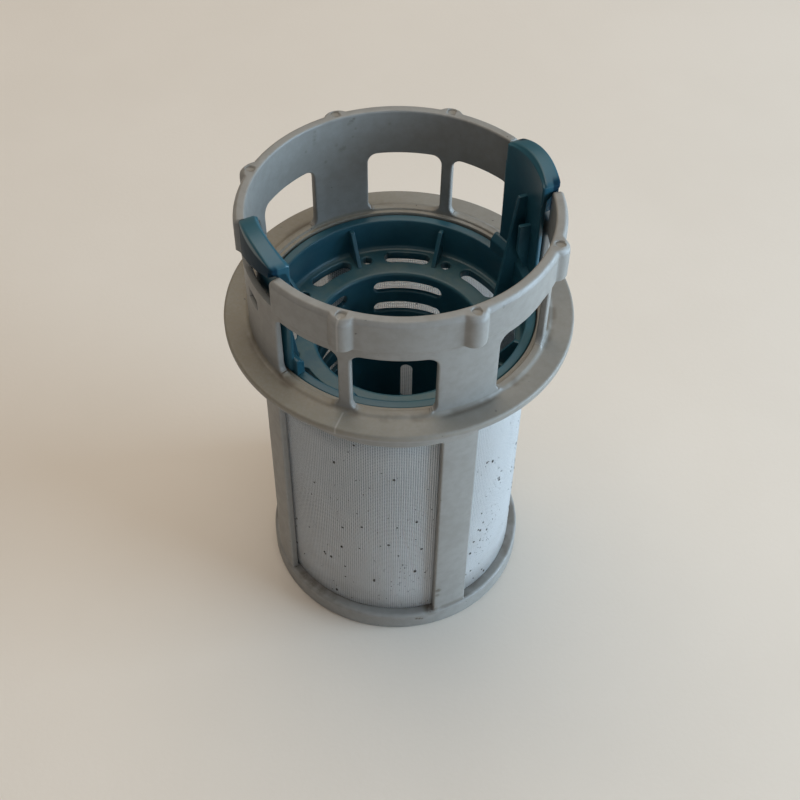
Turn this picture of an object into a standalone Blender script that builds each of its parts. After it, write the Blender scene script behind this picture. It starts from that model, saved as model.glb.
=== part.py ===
"""Filter insert for a dishwasher sump: a grey cage with a fine screen, and a coarse basket inside it.

Metres, +Z up. The origin is the middle of the base ring's underside, and the two grip tabs of
the basket stand along the X axis.
"""
import math

import bmesh
import bpy
from mathutils import Matrix

MM = 0.001

# Driving sizes of the outer frame
TOTAL_HEIGHT = 120.0 * MM
COLLAR_HEIGHT = 30.2 * MM
FLANGE_THICKNESS = 2.0 * MM
FLANGE_RADIUS = 41.5 * MM
FLANGE_EDGE = 0.6 * MM
NECK_DEPTH = 12.8 * MM
NECK_RADIUS = 34.1 * MM
BASE_RING_HEIGHT = 5.5 * MM
BASE_RING_RADIUS = 34.45 * MM
BASE_RING_EDGE = 0.7 * MM
COLLAR_INNER_RADIUS = 33.8 * MM
COLLAR_WALL = 1.8 * MM
COLLAR_FOOT_FILLET = 1.0 * MM
BAND_INNER_RADIUS = 34.2 * MM
BAND_RADIUS = 36.9 * MM
BAND_HEIGHT = 9.4 * MM
BAND_STEP = 0.8 * MM
BAND_EDGE = 0.6 * MM
SEAT_LIP_THICKNESS = 1.5 * MM

# Windows, notches and grip bumps of the collar
WINDOW_SILL = 0.4 * MM
WINDOW_HEAD = 3.0 * MM
WINDOW_CORNER = 2.5 * MM
WINDOW_SPANS_DEG = ((15.2, 42.6), (47.4, 77.9), (102.1, 132.6), (137.4, 164.8))
NOTCH_WIDTH = 20.2 * MM
NOTCH_DEPTH = 9.1 * MM
PEEP_OFFSET_DEG = -1.5
PEEP_WIDTH = 4.9 * MM
PEEP_HEIGHT = 2.9 * MM
PEEP_DROP = 1.2 * MM
PEEP_CORNER = 0.3 * MM
BUMP_ANGLES_DEG = (45.0, 90.0, 135.0, 225.0, 270.0, 315.0)
BUMP_WIDTH = 5.2 * MM
BUMP_DEPTH = 1.7 * MM

# Cage posts and the fine screen behind them
POST_COUNT = 4
POST_SPAN_DEG = 16.0
POST_SETBACK = 0.15 * MM
POST_DEPTH = 1.8 * MM
SCREEN_THICKNESS = 0.4 * MM
SCREEN_RIDGE = 0.18 * MM
SCREEN_CELLS_ROUND = 20
SCREEN_CELL_ROWS = 6
SCREEN_GAP_SHARE = 0.34

# Coarse basket
BASKET_RIM_INNER = 30.2 * MM
BASKET_RIM_WIDTH = 2.3 * MM
BASKET_RIM_THICKNESS = 1.5 * MM
BASKET_RIM_DROP = 0.5 * MM
BASKET_WALL = 1.5 * MM
BASKET_WALL_SETBACK = 0.2 * MM
SHELF_THICKNESS = 1.5 * MM
SHELF_FILLET = 1.2 * MM
CUP_INNER_RADIUS = 20.25 * MM
CUP_WALL = 1.5 * MM
CUP_DEPTH = 51.8 * MM
CUP_FLOOR_EDGE = 1.5 * MM
CUP_MOUTH_EDGE = 0.9 * MM

SHELF_PATTERN_COUNT = 8
SHELF_SLOT_PHASE_DEG = 15.0
SHELF_SLOT_SPAN_DEG = 25.2
SHELF_SLOT_WIDTH = 3.5 * MM
SHELF_SLOT_RADIUS = 26.5 * MM
SHELF_HOLE_PHASE_DEG = 37.5
SHELF_HOLE_RADIUS = 26.3 * MM
SHELF_HOLE_DIAMETER = 2.5 * MM
RIB_PHASE_DEG = 43.5
RIB_THICKNESS = 1.1 * MM
RIB_FOOT_RADIUS = 24.0 * MM
RIB_CAP_WIDTH = 1.2 * MM
RIB_DROP = 1.1 * MM

CUP_COLUMN_COUNT = 5
CUP_COLUMN_PHASE_DEG = 57.6
CUP_SLOT_SPAN_DEG = 50.0
CUP_SLOT_HEIGHT = 3.3 * MM
CUP_SLOT_ROWS = 4
CUP_SLOT_DROP = 4.5 * MM
CUP_SLOT_PITCH = 7.15 * MM
CUP_UPRIGHT_SLOT_WIDTH = 3.2 * MM
CUP_UPRIGHT_SLOT_HEIGHT = 14.0 * MM
CUP_UPRIGHT_SLOT_RISE = 10.7 * MM

# Grip tabs of the basket; each one is set a little towards -Y
TAB_CENTRES_DEG = (-1.5, 181.5)
TAB_SPAN_DEG = 34.6
TAB_RISE = 3.6 * MM
TAB_INNER_RADIUS = 31.9 * MM
TAB_PLATE = 1.3 * MM
TAB_WIDTH = 17.8 * MM
TAB_CROWN_RADIUS = 19.3 * MM
LIP_RADIUS = 36.15 * MM
LIP_THICKNESS = 3.2 * MM
SKIRT_SPAN_DEG = 26.0
SKIRT_DROP = 1.7 * MM
ROOT_SPAN_DEG = 36.6
ROOT_SETBACK = 0.15 * MM
ROOT_HEIGHT = 4.3 * MM
ROOT_CHAMFER = 1.4 * MM
TAB_RIB_ANGLES_DEG = (-1.5, 178.5)
TAB_RIB_HEIGHT = 23.3 * MM
TAB_RIB_CAP = 2.0 * MM
TAB_RIB_FOOT_RADIUS = 25.5 * MM
TAB_STUB_OFFSET_DEG = -6.0
TAB_STUB_TOP_HEIGHT = 17.1 * MM
TAB_STUB_KNEE_HEIGHT = 9.3 * MM
TAB_STUB_FOOT_HEIGHT = 1.9 * MM
TAB_STUB_DEPTH = 2.8 * MM

# Fits and resolution
GAP = 0.3 * MM
EMBED = 0.35 * MM
OVERCUT = 2.0 * MM
FRAME_SEGMENTS = 72
BASKET_SEGMENTS = 60
CORNER_STEPS = 3
TAB_CROWN_STEPS = 10
BUMP_STEPS = 8
HOLE_STEPS = 12
SLOT_ARC_STEPS = 6
SLOT_CAP_STEPS = 4
SLOT_END_ROUNDNESS = 0.98

# Sizes that follow from the ones above
flange_top = TOTAL_HEIGHT - COLLAR_HEIGHT
flange_bottom = flange_top - FLANGE_THICKNESS
neck_bottom = flange_top - NECK_DEPTH
band_bottom = TOTAL_HEIGHT - BAND_HEIGHT
window_bottom = flange_top + WINDOW_SILL
window_top = band_bottom - WINDOW_HEAD
window_height = window_top - window_bottom
collar_radius = COLLAR_INNER_RADIUS + COLLAR_WALL
post_radius = NECK_RADIUS - POST_SETBACK
post_inner_radius = post_radius - POST_DEPTH
screen_radius = post_inner_radius - GAP
seat_lip_top = neck_bottom + SEAT_LIP_THICKNESS
seat_lip_radius = screen_radius - SCREEN_THICKNESS - SCREEN_RIDGE - EMBED

basket_rim_radius = BASKET_RIM_INNER + BASKET_RIM_WIDTH
basket_rim_top = flange_top - BASKET_RIM_DROP
basket_rim_bottom = basket_rim_top - BASKET_RIM_THICKNESS
basket_wall_radius = BASKET_RIM_INNER + BASKET_WALL - BASKET_WALL_SETBACK
basket_wall_inner = basket_wall_radius - BASKET_WALL
shelf_bottom = seat_lip_top + GAP
shelf_top = shelf_bottom + SHELF_THICKNESS
cup_radius = CUP_INNER_RADIUS + CUP_WALL
cup_floor_top = shelf_top - CUP_DEPTH
cup_floor_bottom = cup_floor_top - CUP_WALL
neck_bore = basket_wall_radius + GAP
rim_seat_bore = basket_rim_radius + GAP
rim_seat_height = basket_rim_bottom - GAP
plate_radius = TAB_INNER_RADIUS + TAB_PLATE
plate_bottom = flange_top + GAP
tab_top = TOTAL_HEIGHT + TAB_RISE
lip_bottom = tab_top - LIP_THICKNESS
root_top = basket_rim_top + ROOT_HEIGHT


def clear_scene():
    for item in list(bpy.data.objects):
        bpy.data.objects.remove(item, do_unlink=True)


def new_collection(name):
    group = bpy.data.collections.new(name)
    bpy.context.scene.collection.children.link(group)
    return group


def plastic(name, colour, roughness):
    material = bpy.data.materials.new(name)
    material.use_nodes = True
    shader = material.node_tree.nodes["Principled BSDF"]
    shader.inputs["Base Color"].default_value = (*colour, 1.0)
    shader.inputs["Roughness"].default_value = roughness
    shader.inputs["Metallic"].default_value = 0.0
    return material


def polar(radius, degrees):
    angle = math.radians(degrees)
    return radius * math.cos(angle), radius * math.sin(angle)


def turned(name, profile, group, segments, closed=True):
    """A profile of (radius, height) points, listed down the outer side, swept round Z."""
    mesh = bpy.data.meshes.new(name)
    points = [(radius, 0.0, height) for radius, height in profile]
    edges = [(i, i + 1) for i in range(len(points) - 1)]
    if closed:
        edges.append((len(points) - 1, 0))
    mesh.from_pydata(points, edges, [])
    item = bpy.data.objects.new(name, mesh)
    group.objects.link(item)
    screw = item.modifiers.new("turn", "SCREW")
    screw.steps = segments
    screw.render_steps = segments
    screw.use_merge_vertices = True
    screw.merge_threshold = 0.00001
    screw.use_smooth_shade = True
    return item


def slab_mesh(name, outline, thickness):
    """A flat outline filled and given a thickness, centred on its own plane."""
    curve = bpy.data.curves.new(name, "CURVE")
    curve.dimensions = "2D"
    curve.fill_mode = "BOTH"
    curve.extrude = thickness / 2
    spline = curve.splines.new("POLY")
    spline.points.add(len(outline) - 1)
    for point, (x, y) in zip(spline.points, outline):
        point.co = (x, y, 0.0, 1.0)
    spline.use_cyclic_u = True
    source = bpy.data.objects.new(name, curve)
    bpy.context.scene.collection.objects.link(source)
    depsgraph = bpy.context.evaluated_depsgraph_get()
    mesh = bpy.data.meshes.new_from_object(source.evaluated_get(depsgraph))
    bpy.data.objects.remove(source)
    bpy.data.curves.remove(curve)
    weld(mesh)
    return mesh


def weld(mesh):
    shape = bmesh.new()
    shape.from_mesh(mesh)
    bmesh.ops.remove_doubles(shape, verts=shape.verts, dist=0.000005)
    bmesh.ops.recalc_face_normals(shape, faces=shape.faces)
    shape.to_mesh(mesh)
    shape.free()


def joined(name, placed_meshes, group):
    """Several (mesh, matrix) bodies that do not touch, held as one object."""
    shape = bmesh.new()
    for mesh, matrix in placed_meshes:
        copy = mesh.copy()
        copy.transform(matrix)
        shape.from_mesh(copy)
        bpy.data.meshes.remove(copy)
    mesh = bpy.data.meshes.new(name)
    shape.to_mesh(mesh)
    shape.free()
    item = bpy.data.objects.new(name, mesh)
    group.objects.link(item)
    return item


def combine(item, tool, operation):
    boolean = item.modifiers.new(operation.lower() + "_" + tool.name, "BOOLEAN")
    boolean.operation = operation
    boolean.object = tool
    boolean.solver = "EXACT"
    tool.hide_render = True
    tool.display_type = "WIRE"


def rounded_outline(width, height, corner):
    """Outline of an upright rectangle with round corners, centred on the origin."""
    points = []
    centres = ((1, 1, 0.0), (-1, 1, 90.0), (-1, -1, 180.0), (1, -1, 270.0))
    for side_x, side_y, start in centres:
        for step in range(CORNER_STEPS + 1):
            x, y = polar(corner, start + 90.0 * step / CORNER_STEPS)
            points.append((side_x * (width / 2 - corner) + x, side_y * (height / 2 - corner) + y))
    return points


def arched_outline(width, height, radius, steps):
    """Outline of an upright plate with a crowned top, listed from the crown at the origin down."""
    half_deg = math.degrees(math.asin(width / 2 / radius))
    arc = [polar(radius, 90.0 - half_deg + 2 * half_deg * i / steps) for i in range(steps + 1)]
    return [(x, y - radius) for x, y in arc] + [(-width / 2, -height), (width / 2, -height)]


def sector_outline(inner, outer, span_deg, step_deg=360.0 / FRAME_SEGMENTS):
    """Plan of a curved wall between two radii, centred on +X."""
    steps = max(2, round(span_deg / step_deg))
    angles = [span_deg * (i / steps - 0.5) for i in range(steps + 1)]
    return [polar(outer, a) for a in angles] + [polar(inner, a) for a in reversed(angles)]


def arc_slot_outline(radius, width, span_deg, steps=SLOT_ARC_STEPS, cap_steps=SLOT_CAP_STEPS):
    """Plan of a curved slot with round ends, centred on +X."""
    cap_deg = math.degrees(width / 2 / radius)
    half = span_deg / 2 - cap_deg
    points = [polar(radius + width / 2, -half + 2 * half * i / steps) for i in range(steps + 1)]
    points += cap_points(radius, width, half, 0.0, cap_steps)
    points += [polar(radius - width / 2, half - 2 * half * i / steps) for i in range(steps + 1)]
    points += cap_points(radius, width, -half, 180.0, cap_steps)
    return points


def cap_points(radius, width, at_deg, turn_deg, steps):
    centre_x, centre_y = polar(radius, at_deg)
    points = []
    for step in range(1, steps):
        x, y = polar(width / 2, at_deg + turn_deg + 180.0 * step / steps)
        points.append((centre_x + x, centre_y + y))
    return points


def about_z(degrees):
    return Matrix.Rotation(math.radians(degrees), 4, "Z")


def raised(height):
    return Matrix.Translation((0.0, 0.0, height))


def facing_out(degrees, radius, height):
    """Turns an outline in X and Y so that its X runs round the part, its Y up and its depth outwards."""
    stand = Matrix(((0, 0, 1, radius), (1, 0, 0, 0), (0, 1, 0, height), (0, 0, 0, 1)))
    return about_z(degrees) @ stand


def along_radius(degrees):
    """Turns an outline in radius (X) and height (Y) into the upright plane at an angle round Z."""
    stand = Matrix(((1, 0, 0, 0), (0, 0, -1, 0), (0, 1, 0, 0), (0, 0, 0, 1)))
    return about_z(degrees) @ stand


def build_frame(parts, tools, material):
    """Collar, flange, neck, posts and base ring: one grey moulding."""
    frame = turned("outer_frame", [
        (BAND_RADIUS - BAND_EDGE, TOTAL_HEIGHT),
        (BAND_RADIUS, TOTAL_HEIGHT - BAND_EDGE),
        (BAND_RADIUS, band_bottom + BAND_STEP),
        (collar_radius, band_bottom),
        (collar_radius, flange_top + COLLAR_FOOT_FILLET),
        (collar_radius + COLLAR_FOOT_FILLET, flange_top),
        (FLANGE_RADIUS - FLANGE_EDGE, flange_top),
        (FLANGE_RADIUS, flange_top - FLANGE_EDGE),
        (FLANGE_RADIUS, flange_bottom),
        (NECK_RADIUS, flange_bottom),
        (NECK_RADIUS, neck_bottom),
        (seat_lip_radius, neck_bottom),
        (seat_lip_radius, seat_lip_top),
        (neck_bore, seat_lip_top),
        (neck_bore, rim_seat_height),
        (rim_seat_bore, rim_seat_height),
        (rim_seat_bore, flange_top),
        (COLLAR_INNER_RADIUS, flange_top),
        (COLLAR_INNER_RADIUS, band_bottom),
        (BAND_INNER_RADIUS, band_bottom + BAND_STEP),
        (BAND_INNER_RADIUS, TOTAL_HEIGHT - BAND_EDGE),
        (BAND_INNER_RADIUS + BAND_EDGE, TOTAL_HEIGHT),
    ], parts, FRAME_SEGMENTS)
    base_ring = turned("base_ring", [
        (BASE_RING_RADIUS - BASE_RING_EDGE, BASE_RING_HEIGHT),
        (BASE_RING_RADIUS, BASE_RING_HEIGHT - BASE_RING_EDGE),
        (BASE_RING_RADIUS, 0.0),
        (seat_lip_radius, 0.0),
        (seat_lip_radius, BASE_RING_HEIGHT),
    ], tools, FRAME_SEGMENTS)
    combine(frame, joined_posts(tools), "UNION")
    combine(frame, base_ring, "UNION")
    combine(frame, joined_bumps(tools), "UNION")
    combine(frame, joined_windows(tools), "DIFFERENCE")
    combine(frame, joined_notches(tools), "DIFFERENCE")
    frame.data.materials.append(material)
    return frame


def joined_posts(tools):
    height = neck_bottom - BASE_RING_HEIGHT + 2 * EMBED
    outline = sector_outline(post_inner_radius, post_radius, POST_SPAN_DEG)
    post = slab_mesh("post", outline, height)
    lift = raised(BASE_RING_HEIGHT - EMBED + height / 2)
    turns = [360.0 * i / POST_COUNT for i in range(POST_COUNT)]
    return joined("posts", [(post, about_z(turn) @ lift) for turn in turns], tools)


def joined_bumps(tools):
    """Half-round grip bumps on the band, flush with the rim."""
    radius = (BUMP_WIDTH ** 2 / 4 + BUMP_DEPTH ** 2) / (2 * BUMP_DEPTH)
    centre = BAND_RADIUS + BUMP_DEPTH - radius
    half = math.degrees(math.acos((BAND_RADIUS - EMBED - centre) / radius))
    arc = [polar(radius, -half + 2 * half * i / BUMP_STEPS) for i in range(BUMP_STEPS + 1)]
    outline = [(centre + x, y) for x, y in arc]
    height = BAND_HEIGHT - BAND_STEP / 2 - BAND_EDGE / 2
    bump = slab_mesh("bump", outline, height)
    lift = raised(TOTAL_HEIGHT - BAND_EDGE / 2 - height / 2)
    return joined("bumps", [(bump, about_z(a) @ lift) for a in BUMP_ANGLES_DEG], tools)


def joined_windows(tools):
    placed = []
    middle = (COLLAR_INNER_RADIUS + collar_radius) / 2
    for turn in (0.0, 180.0):
        for start, end in WINDOW_SPANS_DEG:
            width = 2 * collar_radius * math.sin(math.radians((end - start) / 2))
            outline = rounded_outline(width, window_height, WINDOW_CORNER)
            window = slab_mesh("window", outline, COLLAR_WALL + 2 * OVERCUT)
            place = facing_out(turn + (start + end) / 2, middle, window_bottom + window_height / 2)
            placed.append((window, place))
    return joined("windows", placed, tools)


def joined_notches(tools):
    """Open notches in the rim for the grip tabs, and the small peep window under each."""
    notch_outline = rounded_outline(NOTCH_WIDTH, 2 * NOTCH_DEPTH, BAND_EDGE)
    notch = slab_mesh("notch", notch_outline, BAND_RADIUS - BAND_INNER_RADIUS + 2 * OVERCUT)
    peep_outline = rounded_outline(PEEP_WIDTH, PEEP_HEIGHT, PEEP_CORNER)
    peep = slab_mesh("peep", peep_outline, COLLAR_WALL + 2 * OVERCUT)
    band_middle = (BAND_RADIUS + BAND_INNER_RADIUS) / 2
    collar_middle = (COLLAR_INNER_RADIUS + collar_radius) / 2
    peep_middle = window_top - PEEP_DROP - PEEP_HEIGHT / 2
    placed = []
    for turn in (0.0, 180.0):
        placed.append((notch, facing_out(turn, band_middle, TOTAL_HEIGHT)))
        placed.append((peep, facing_out(turn + PEEP_OFFSET_DEG, collar_middle, peep_middle)))
    return joined("notches", placed, tools)


def build_screen(parts, material):
    """Fine screen, drawn as one ridged wall with a gap in each open cell."""
    bottom = BASE_RING_HEIGHT + GAP
    top = neck_bottom - GAP
    cell_deg = 360.0 / SCREEN_CELLS_ROUND
    cell_height = (top - bottom) / SCREEN_CELL_ROWS
    columns = SCREEN_CELLS_ROUND * 3
    rows = SCREEN_CELL_ROWS * 2 + 1
    shape = bmesh.new()
    bmesh.ops.create_grid(shape, x_segments=columns, y_segments=rows, size=0.5)
    gap_start = 0.5 - SCREEN_GAP_SHARE / 2
    gap_end = 0.5 + SCREEN_GAP_SHARE / 2
    column_marks = (0.0, gap_start, gap_end)
    heights = [0.0]
    for row in range(SCREEN_CELL_ROWS):
        heights += [row + gap_start, row + gap_end]
    heights.append(SCREEN_CELL_ROWS)
    gaps = []
    for face in shape.faces:
        centre = face.calc_center_median()
        column = int((centre.x + 0.5) * columns)
        row = int((centre.y + 0.5) * rows)
        behind_post = (column // 3) % (SCREEN_CELLS_ROUND // POST_COUNT) == 0
        if column % 3 == 1 and row % 2 == 1 and not behind_post:
            gaps.append(face)
    bmesh.ops.delete(shape, geom=gaps, context="FACES")
    for vertex in shape.verts:
        column = round((vertex.co.x + 0.5) * columns)
        row = round((vertex.co.y + 0.5) * rows)
        on_ridge = column % 3 == 0
        radius = screen_radius - (0.0 if on_ridge else SCREEN_RIDGE)
        angle = (column // 3 + column_marks[column % 3] - 0.5) * cell_deg
        x, y = polar(radius, angle)
        vertex.co = (x, y, bottom + heights[row] * cell_height)
    bmesh.ops.remove_doubles(shape, verts=shape.verts, dist=0.00001)
    bmesh.ops.recalc_face_normals(shape, faces=shape.faces)
    mesh = bpy.data.meshes.new("mesh_screen")
    shape.to_mesh(mesh)
    shape.free()
    screen = bpy.data.objects.new("mesh_screen", mesh)
    parts.objects.link(screen)
    wall = screen.modifiers.new("wall", "SOLIDIFY")
    wall.thickness = SCREEN_THICKNESS
    wall.offset = -1.0
    mesh.materials.append(material)
    return screen


def build_basket(parts, tools, material):
    """Coarse basket: rim, wall, slotted shelf, slotted cup, ribs and two grip tabs in one moulding."""
    basket = turned("coarse_basket", [
        (0.0, cup_floor_top),
        (CUP_INNER_RADIUS - CUP_FLOOR_EDGE, cup_floor_top),
        (CUP_INNER_RADIUS, cup_floor_top + CUP_FLOOR_EDGE),
        (CUP_INNER_RADIUS, shelf_top - CUP_MOUTH_EDGE),
        (CUP_INNER_RADIUS + CUP_MOUTH_EDGE, shelf_top),
        (basket_wall_inner - SHELF_FILLET, shelf_top),
        (basket_wall_inner, shelf_top + SHELF_FILLET),
        (basket_wall_inner, basket_rim_bottom),
        (BASKET_RIM_INNER, basket_rim_top),
        (basket_rim_radius, basket_rim_top),
        (basket_rim_radius, basket_rim_bottom),
        (basket_wall_radius, basket_rim_bottom),
        (basket_wall_radius, shelf_bottom),
        (cup_radius, shelf_bottom),
        (cup_radius, cup_floor_bottom + CUP_FLOOR_EDGE),
        (cup_radius - CUP_FLOOR_EDGE, cup_floor_bottom),
        (0.0, cup_floor_bottom),
    ], parts, BASKET_SEGMENTS, closed=False)
    combine(basket, joined_slots(tools), "DIFFERENCE")
    combine(basket, joined_ribs(tools), "UNION")
    combine(basket, joined_roots(tools), "UNION")
    combine(basket, joined_tabs(tools), "UNION")
    combine(basket, joined_tab_ribs(tools), "UNION")
    basket.data.materials.append(material)
    return basket


def joined_slots(tools):
    placed = []
    arc_slot = slab_mesh("shelf_slot", arc_slot_outline(
        SHELF_SLOT_RADIUS, SHELF_SLOT_WIDTH, SHELF_SLOT_SPAN_DEG), SHELF_THICKNESS + 2 * OVERCUT)
    hole_outline = [polar(SHELF_HOLE_DIAMETER / 2, 360.0 * i / HOLE_STEPS)
                    for i in range(HOLE_STEPS)]
    hole = slab_mesh("shelf_hole", hole_outline, SHELF_THICKNESS + 2 * OVERCUT)
    shelf_middle = (shelf_top + shelf_bottom) / 2
    for i in range(SHELF_PATTERN_COUNT):
        turn = 360.0 * i / SHELF_PATTERN_COUNT
        placed.append((arc_slot, about_z(turn + SHELF_SLOT_PHASE_DEG) @ raised(shelf_middle)))
        at_hole = Matrix.Translation((SHELF_HOLE_RADIUS, 0.0, shelf_middle))
        placed.append((hole, about_z(turn + SHELF_HOLE_PHASE_DEG) @ at_hole))
    wall_middle = (CUP_INNER_RADIUS + cup_radius) / 2
    slot_width = 2 * CUP_INNER_RADIUS * math.sin(math.radians(CUP_SLOT_SPAN_DEG / 2))
    slot_depth = 2 * (cup_radius - CUP_INNER_RADIUS * math.cos(math.radians(CUP_SLOT_SPAN_DEG / 2)))
    level_slot = slab_mesh("level_slot", rounded_outline(
        slot_width, CUP_SLOT_HEIGHT, SLOT_END_ROUNDNESS * CUP_SLOT_HEIGHT / 2),
        slot_depth + 2 * OVERCUT)
    upright_slot = slab_mesh("upright_slot", rounded_outline(
        CUP_UPRIGHT_SLOT_WIDTH, CUP_UPRIGHT_SLOT_HEIGHT,
        SLOT_END_ROUNDNESS * CUP_UPRIGHT_SLOT_WIDTH / 2), CUP_WALL + 2 * OVERCUT)
    upright_middle = cup_floor_top + CUP_UPRIGHT_SLOT_RISE
    for i in range(CUP_COLUMN_COUNT):
        turn = CUP_COLUMN_PHASE_DEG + 360.0 * i / CUP_COLUMN_COUNT
        for row in range(CUP_SLOT_ROWS):
            height = shelf_top - CUP_SLOT_DROP - row * CUP_SLOT_PITCH
            placed.append((level_slot, facing_out(turn, wall_middle, height)))
        placed.append((upright_slot, facing_out(turn, wall_middle, upright_middle)))
    return joined("slots", placed, tools)


def joined_ribs(tools):
    """Gusset ribs between the shelf and the wall."""
    rib_top = basket_rim_top - RIB_DROP
    outline = [
        (basket_wall_inner + EMBED, shelf_top - EMBED),
        (basket_wall_inner + EMBED, rib_top),
        (basket_wall_inner - RIB_CAP_WIDTH, rib_top),
        (RIB_FOOT_RADIUS, shelf_top),
        (RIB_FOOT_RADIUS, shelf_top - EMBED),
    ]
    rib = slab_mesh("rib", outline, RIB_THICKNESS)
    turns = [RIB_PHASE_DEG + 360.0 * i / SHELF_PATTERN_COUNT for i in range(SHELF_PATTERN_COUNT)]
    skip = [angle % 360.0 for angle in TAB_RIB_ANGLES_DEG]
    placed = [(rib, along_radius(turn)) for turn in turns if turn % 360.0 not in skip]
    return joined("ribs", placed, tools)


def joined_roots(tools):
    """Thick foot of each tab on the rim, its top chamfered on the inside."""
    inner = BASKET_RIM_INNER + ROOT_SETBACK
    outer = basket_rim_radius - ROOT_SETBACK
    bottom = basket_rim_top - EMBED
    foot = slab_mesh("root", sector_outline(inner, outer, ROOT_SPAN_DEG), root_top - bottom)
    chamfered = bmesh.new()
    chamfered.from_mesh(foot)
    top = (root_top - bottom) / 2
    for vertex in chamfered.verts:
        if vertex.co.z > top - EMBED and vertex.co.xy.length < inner + EMBED:
            vertex.co.z -= ROOT_CHAMFER
    chamfered.to_mesh(foot)
    chamfered.free()
    lift = raised((root_top + bottom) / 2)
    return joined("roots", [(foot, about_z(a) @ lift) for a in TAB_CENTRES_DEG], tools)


def joined_tabs(tools):
    """Curved grip plates with an outward lip and a crowned top, cut to parallel sides."""
    uncut_top = tab_top + EMBED
    plate = slab_mesh("plate", sector_outline(TAB_INNER_RADIUS, plate_radius, TAB_SPAN_DEG),
                      uncut_top - plate_bottom)
    lip = slab_mesh("lip", sector_outline(plate_radius - EMBED, LIP_RADIUS, TAB_SPAN_DEG),
                    uncut_top - lip_bottom)
    skirt = slab_mesh("skirt", sector_outline(plate_radius - EMBED, LIP_RADIUS, SKIRT_SPAN_DEG),
                      SKIRT_DROP + EMBED)
    arch = slab_mesh("arch", arched_outline(TAB_WIDTH, tab_top - neck_bottom, TAB_CROWN_RADIUS,
                                            TAB_CROWN_STEPS), LIP_RADIUS - TAB_INNER_RADIUS + 3 * OVERCUT)
    plates = joined("plates", [(plate, about_z(a) @ raised((uncut_top + plate_bottom) / 2))
                               for a in TAB_CENTRES_DEG], tools)
    lips = joined("lips", [(lip, about_z(a) @ raised((uncut_top + lip_bottom) / 2))
                           for a in TAB_CENTRES_DEG], tools)
    skirt_middle = lip_bottom + EMBED - (SKIRT_DROP + EMBED) / 2
    skirts = joined("skirts", [(skirt, about_z(a) @ raised(skirt_middle))
                               for a in TAB_CENTRES_DEG], tools)
    middle = (LIP_RADIUS + TAB_INNER_RADIUS) / 2
    arches = joined("arches", [(arch, facing_out(a, middle, tab_top))
                               for a in TAB_CENTRES_DEG], tools)
    combine(plates, lips, "UNION")
    combine(plates, skirts, "UNION")
    combine(plates, arches, "INTERSECT")
    return plates


def joined_tab_ribs(tools):
    """The long rib up each tab's inner face, and the short stub beside it."""
    outer = TAB_INNER_RADIUS + EMBED
    rib_top = basket_rim_top + TAB_RIB_HEIGHT
    stub_top = basket_rim_top + TAB_STUB_TOP_HEIGHT
    stub_knee = basket_rim_top + TAB_STUB_KNEE_HEIGHT
    stub_foot = basket_rim_top + TAB_STUB_FOOT_HEIGHT
    long_rib = slab_mesh("tab_rib", [
        (basket_wall_inner + EMBED, shelf_top - EMBED),
        (basket_wall_inner + EMBED, basket_rim_top - EMBED),
        (outer, basket_rim_top - EMBED),
        (outer, rib_top),
        (TAB_INNER_RADIUS - TAB_RIB_CAP, rib_top),
        (TAB_RIB_FOOT_RADIUS, shelf_top),
        (TAB_RIB_FOOT_RADIUS, shelf_top - EMBED),
    ], RIB_THICKNESS)
    stub = slab_mesh("tab_stub", [
        (outer, stub_foot - EMBED),
        (outer, stub_top),
        (TAB_INNER_RADIUS - TAB_STUB_DEPTH, stub_top),
        (TAB_INNER_RADIUS - TAB_STUB_DEPTH, stub_knee),
        (TAB_INNER_RADIUS, stub_foot),
    ], RIB_THICKNESS)
    placed = []
    for angle in TAB_RIB_ANGLES_DEG:
        placed.append((long_rib, along_radius(angle)))
        placed.append((stub, along_radius(angle + TAB_STUB_OFFSET_DEG)))
    return joined("tab_ribs", placed, tools)


def main():
    clear_scene()
    parts = new_collection("dishwasher_filter")
    tools = new_collection("shaping_tools")
    tools.hide_render = True
    grey = plastic("grey_polypropylene", (0.27, 0.26, 0.24), 0.45)
    teal = plastic("teal_polypropylene", (0.02, 0.10, 0.14), 0.4)
    steel = plastic("pale_screen", (0.42, 0.44, 0.46), 0.5)
    build_frame(parts, tools, grey)
    build_screen(parts, steel)
    build_basket(parts, tools, teal)


main()
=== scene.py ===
import math

import bmesh
import bpy
import numpy as np
from mathutils import Matrix, Vector


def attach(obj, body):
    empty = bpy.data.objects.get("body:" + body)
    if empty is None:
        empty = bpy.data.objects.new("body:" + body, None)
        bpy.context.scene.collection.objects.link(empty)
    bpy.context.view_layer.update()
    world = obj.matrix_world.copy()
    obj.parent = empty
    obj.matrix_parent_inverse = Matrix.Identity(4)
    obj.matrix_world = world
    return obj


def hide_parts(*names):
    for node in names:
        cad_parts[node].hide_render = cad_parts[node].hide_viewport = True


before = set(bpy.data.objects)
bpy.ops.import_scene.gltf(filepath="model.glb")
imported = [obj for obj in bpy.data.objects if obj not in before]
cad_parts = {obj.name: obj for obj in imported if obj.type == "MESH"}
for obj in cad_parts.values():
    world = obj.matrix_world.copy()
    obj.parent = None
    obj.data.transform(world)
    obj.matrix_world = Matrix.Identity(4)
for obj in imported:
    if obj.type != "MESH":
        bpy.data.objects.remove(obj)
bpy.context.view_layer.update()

mm = 0.001
weld = 0.002 * mm  # points nearer than this become one
viewTurn = -26.0  # degrees from the photo's own axes to the part's, whose grip tabs lie along X
mainCollection = bpy.context.scene.collection


# Node helpers

def feed(tree, socket, source):
    if isinstance(source, bpy.types.NodeSocket):
        tree.links.new(source, socket)
    else:
        socket.default_value = source


def fill(tree, node, inputs):
    for key, source in inputs.items():
        feed(tree, node.inputs[key], source)


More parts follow.
